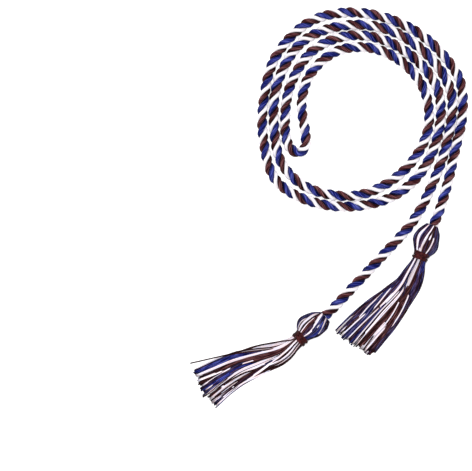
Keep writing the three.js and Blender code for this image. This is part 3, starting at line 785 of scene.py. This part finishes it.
def head_yarn(side, places, gain, shown, letter, under=False, thick=1.0):
    """One looped yarn of a head: from inside, over its top end, and down to the neck."""
    share = np.linspace(0, 1, LOOP_POINTS)
    low, high = (np.interp(share, np.linspace(0, 1, STEPS), edge) for edge in HEAD_EDGES[side])
    y = across_at(share, places)
    half = (high - low) / 2 - LOOP_INSET
    middle = (high + low) / 2
    sign = -1 if under else 1
    height = np.minimum(half * HEAD_FLATNESS, TASSEL_HEIGHT - LOOP_CLEARANCE)
    z = sign * height * np.sqrt(1 - np.clip((y - middle) / half, -1, 1) ** 2)
    size = UNDER_SIZE + (1 - UNDER_SIZE) * on_top(share, shown, LOOP_SOFTNESS)
    size += gain * np.sin(math.pi * share)
    size *= 1 + wave(share, *LOOP_WAVE)
    y = middle + (y - middle) * size
    z = np.maximum(z * size, LOOP_CLEARANCE - TASSEL_HEIGHT)
    x = share * HEAD_LENGTH + random.uniform(*LOOP_START_METRES) * (1 - share) + LOOP_INSET
    start = [(along, y[0] * wide, z[0] * high) for along, wide, high in LOOP_START]
    end = [(HEAD_LENGTH + LOOP_END[0], y[-1] * LOOP_END[1], z[-1] * LOOP_END[2])]
    points = np.vstack((start, np.stack((x, y, z), axis=1), end))
    every_second = range(2, LOOP_POINTS + 2, 2)
    kept = [0, 1, *every_second, LOOP_POINTS + 1, LOOP_POINTS + 2]
    points = smooth_line(points[kept], LOOP_STEPS)
    frame_of = tassel_frame(side)
    out = np.stack((points[:, 0] * 0, points[:, 1], points[:, 2] + NUDGE * sign), axis=1)
    away = unit(placed(frame_of, unit(out)) - frame_of[0] + SKEW)
    swell = np.sin(math.pi * np.linspace(0, 1, len(points))) ** SWELL_POWER
    width = (LOOP_HALF + LOOP_SWELL * swell) * thick
    name, shade = yarn_kind(letter)
    # Painted shade on the loops of the head's underside
    shade *= UNDER_SHADE if under else 1
    return yarn_tube(placed(frame_of, points), away, width, width * LOOP_FLATNESS, name, shade)


def head_tubes(side):
    """The loops on top by colour, and below them one layer on top and two underneath."""
    tubes = []
    for letter, count, swell, comes, dives, across in LOOPS[side]:
        for k in range(count):
            shift = (k - (count - 1) / 2) * LOOP_SPACING
            places = [(a + shift * close) / MILLIMETRES for a, close in zip(across, LOOP_CLOSENESS)]
            begins = comes + vary(LOOP_SHOWN_VARIES) if comes > 0 else -1
            shown = (begins, dives + vary(LOOP_SHOWN_VARIES))
            gain = swell * SWELL_GAIN + random.uniform(0, RANDOM_GAIN)
            tubes.append(head_yarn(side, places, gain, shown, letter, thick=TOP_LOOP_SIZE))
    low, high = (np.array(edge) for edge in HEAD_EDGES[side])
    for under, shown in ((False, NEVER_ON_TOP), (True, NEVER_ON_TOP), (True, ALWAYS_ON_TOP)):
        for k, letter in enumerate(UNDER_LOOPS):
            part = math.cos(math.pi * (k + 0.5) / len(UNDER_LOOPS))
            places = (high + low) / 2 + (high - low) / 2 * part + vary(UNDER_LOOP_VARIES_METRES)
            tubes.append(head_yarn(side, places, 0, shown, letter, under))
    return tubes


def skirt_path(side, share):
    """The skirt's middle line, the way to its left, and its width, at shares of its
    length; past the line's end it runs straight on."""
    sweep = np.array(SWEEPS[side])
    line = smooth_line(sweep[:, :2] * SKIRT_LENGTH, SWEEP_STEPS)
    whole = lengths_along(line)[-1]
    middle = at_lengths(line, np.minimum(share, 1) * whole)
    middle += np.maximum(share - 1, 0)[:, None] * whole * unit(line[-1] - line[-4])
    tangent = unit(np.gradient(middle, axis=0))
    left = np.stack((-tangent[:, 1], tangent[:, 0]), axis=1)
    width = np.interp(share * sweep[-1, 0], sweep[:, 0], sweep[:, 2]) * SKIRT_WIDTH
    return middle, left, width


def skirt_yarn(side, places, layer, shown, reach, letter, thick=1.0):
    """One yarn of a skirt, from the neck down onto the floor and out to its cut end."""
    share = np.linspace(0, 1, SKIRT_POINTS)
    middle, left, width = skirt_path(side, share * reach)
    across = across_at(share * reach, places)
    bend = wave(share, random.uniform(*SIDE_WAVE_METRES), *SIDE_WAVE)
    offset = across * (width - YARN_WIDTH) / 2 + bend * share
    sunk = max(SUNK_LAYER, layer - SINKS_BY)
    lies = sunk + (layer - sunk) * (on_top(share, shown, SKIRT_SOFTNESS) if layer > sunk else 1)
    at_neck = np.clip(across[0], -NECK_EDGE, NECK_EDGE)
    neck_y = at_neck * NECK_RADIUS * NECK_FILL
    neck_layer = layer if shown[0] <= 0 else NECK_MIDDLE_LAYER
    neck_height = NECK_FILL * NECK_RADIUS * math.sqrt(1 - at_neck ** 2)
    neck_z = (neck_layer / NECK_LAYERS * 2 - 1) * neck_height
    fan = smoothstep(0, FAN_ENDS, share)
    y = neck_y * (1 - fan) + offset * fan
    crest = np.clip(CREST - np.abs(across) ** CREST_POWER, CREST_LEAST, 1)
    lowest = YARN_HEIGHT * 0.5 - TASSEL_HEIGHT
    settle = smoothstep(0, SETTLE_ENDS, share)
    z = neck_z * (1 - settle) + (lowest + lies * LAYER_HEIGHT * crest) * settle
    z += wave(share, *HEIGHT_WAVE) * settle
    z = np.maximum(z, lowest)
    root = HEAD_LENGTH + BINDING_LENGTH * 0.5
    place = middle + left * y[:, None]
    points = np.stack((root + place[:, 0], place[:, 1], z), axis=1)
    name, shade = yarn_kind(letter)
    # Painted shade near the binding, and cut ends darkened
    shade = shade * (ROOT_SHADE + (1 - ROOT_SHADE) * smoothstep(0.0, ROOT_ENDS, share))
    shade *= 1 - TIP_DARK * smoothstep(TIP_BEGINS, 1.0, share)
    wide = np.full(len(share), YARN_WIDTH / 2 * thick) * (NECK_YARN + (1 - NECK_YARN) * fan)
    high = np.full(len(share), YARN_HEIGHT / 2 * thick)
    up = np.tile(UP, (len(share), 1))
    return yarn_tube(placed(tassel_frame(side), points), up, wide, high, name, shade)


def yarn_size(letter):
    """How thick a yarn is for a full one."""
    if letter.islower():
        return THIN_YARN
    return WHITE_YARN if letter == "W" else 1


def skirt_tubes(side):
    """The locks on top by colour, and the layers of mixed yarns below them."""
    tubes = []
    spacing = np.linspace(ROOT_SPACING, 1, STEPS) * YARN_SPACING / (SKIRT_WIDTH / 2)
    for letters, layer, comes, dives, reach, across in LOCKS[side]:
        for k, letter in enumerate(letters):
            places = np.array(across) + (k - (len(letters) - 1) / 2) * spacing
            begins = comes + vary(LOCK_STARTS_VARY) if comes > 0 else 0
            shown = (begins, dives + vary(LOCK_ENDS_VARY))
            height = layer + vary(LAYER_VARIES)
            ends = reach * (1 + vary(REACH_VARIES))
            thick = yarn_size(letter)
            tubes.append(skirt_yarn(side, places, height, shown, ends, letter.upper(), thick))
    for layer in range(UNDER_LAYERS):
        for k in range(UNDER_ACROSS):
            place = (2 * (k + 0.5 * (layer % 2)) / UNDER_ACROSS - 1) * NECK_EDGE
            place += vary(UNDER_PLACE_VARIES)
            places = [place + vary(UNDER_PATH_VARIES) for n in range(STEPS)]
            letter = random.choice(UNDER_YARNS[side])
            ends = random.uniform(*UNDER_REACH)
            tubes.append(skirt_yarn(side, places, layer + LAYER_START, WHOLE_LENGTH, ends, letter))
    return tubes


def stray_tube():
    heights = np.linspace(STRAY_START, STRAY_HALF, len(STRAY))
    line = smooth_line([(x, y, z) for (x, y), z in zip(STRAY, heights)], STRAY_STEPS)
    half = np.full(len(line), STRAY_HALF)
    return yarn_tube(line, np.tile(UP, (len(line), 1)), half, half, "maroon", STRAY_SHADE)


# Bindings

# The thread's radius, and how far the rings go past the binding's length and to its side
THREAD_RADIUS = 0.00052
BINDING_SPREAD = 0.0008
BINDING_SHIFT = 0.0003

# The rings side by side, the metres over the neck that are drawn for them, and how much
# their tilt varies in degrees
EVEN_WINDS = 8
WIND_HEIGHTS = (0.0, 0.00035)
TILT_VARIES = 6

# The rings across the others: place along the binding, metres over the neck, tilt in degrees
CROSS_WINDS = ((0.42, 0.0007, 17), (0.55, 0.0008, -14))


def wound_binding(side):
    """Maroon thread wound round the neck: uneven rings side by side, two across them."""
    origin, outward, across = tassel_frame(side)
    heading = math.atan2(outward[1], outward[0])
    winds = [(k / (EVEN_WINDS - 1), random.uniform(*WIND_HEIGHTS), vary(TILT_VARIES))
             for k in range(EVEN_WINDS)]
    rings = []
    for share, bulge, tilt in (*winds, *CROSS_WINDS):
        bpy.ops.object.select_all(action="DESELECT")
        along = HEAD_LENGTH + share * (BINDING_LENGTH + BINDING_SPREAD)
        bpy.ops.mesh.primitive_torus_add(
            major_radius=NECK_RADIUS + bulge, minor_radius=THREAD_RADIUS,
            major_segments=48, minor_segments=10,
            location=origin + outward * along - across * BINDING_SHIFT,
            rotation=(math.radians(tilt), math.pi / 2, heading))
        bpy.ops.object.transform_apply(location=True, rotation=True, scale=True)
        rings.append(bpy.context.object)
    bpy.ops.object.select_all(action="DESELECT")
    for ring in rings:
        ring.select_set(True)
    bpy.context.view_layer.objects.active = rings[0]
    bpy.ops.object.join()
    piece = bpy.context.object
    piece.name = f"wound_binding_{side}"
    piece.data.materials.clear()
    piece.data.materials.append(THREAD_FINISH)
    bpy.ops.object.shade_smooth()
    return piece


# Studio

# The camera's place in metres, and its lens and sensor in millimetres
CAMERA_PLACE = (-0.0727, -0.0215, 2.0485)
CAMERA_LENS = 200
CAMERA_SENSOR = 36

# The sky's strength, and the lamps: place in metres, power in watts, size in metres
SKY_STRENGTH = 0.49
LAMPS = (((-0.1, 0.2, 2.6), 52, 1.0), ((-0.8, 0.7, 1.2), 6, 0.8))

# The floor: size, and its place under the lowest yarns
FLOOR_SIZE = 6
FLOOR_DROP = 0.0001


def place_camera():
    """Straight above the middle of the picture."""
    bpy.ops.object.camera_add(location=CAMERA_PLACE, rotation=(0, 0, 0))
    camera = bpy.context.object
    camera.data.lens = CAMERA_LENS
    camera.data.sensor_width = CAMERA_SENSOR
    bpy.context.scene.camera = camera


def light_studio():
    """An even pale sky, a large lamp above, and a small one from the upper left."""
    world = bpy.data.worlds.new("studio")
    bpy.context.scene.world = world
    world.use_nodes = True
    sky = world.node_tree.nodes["Background"]
    sky.inputs["Color"].default_value = (1, 1, 1, 1)
    sky.inputs["Strength"].default_value = SKY_STRENGTH
    for spot, power, size in LAMPS:
        bpy.ops.object.light_add(type="AREA", location=spot)
        lamp = bpy.context.object
        lamp.data.energy = power
        lamp.data.size = size
        toward = -lamp.location
        lamp.rotation_euler = toward.to_track_quat("-Z", "Y").to_euler()
    bpy.context.scene.view_settings.view_transform = "Standard"


def lay_floor():
    bpy.ops.mesh.primitive_plane_add(size=FLOOR_SIZE, location=(0, 0, -FLOOR_DROP))
    floor = bpy.context.object
    floor.name = "floor"
    floor.data.materials.append(floor_finish())


bpy.ops.object.select_all(action="DESELECT")
YARN_FINISHES = [yarn_finish(name, *look) for name, look in YARN_LOOKS.items()]
THREAD_FINISH = binding_finish()
place_camera()
light_studio()
lay_floor()

plies, centre_line = rope_tubes(rope_line())
rope = ring_mesh("twisted_rope", plies)
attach(rope, "root")
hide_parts("cord")

for side in ("right", "left"):
    head = ring_mesh(f"looped_head_{side}", head_tubes(side))
    skirt_yarns = skirt_tubes(side)
    if side == "left":
        skirt_yarns.append(stray_tube())
    skirt = ring_mesh(f"yarn_skirt_{side}", skirt_yarns)
    for piece in (head, skirt):
        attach(piece, "root")
        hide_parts(f"tassel_{side}")
    binding = wound_binding(side)
    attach(binding, "root")
    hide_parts(f"binding_{side}")
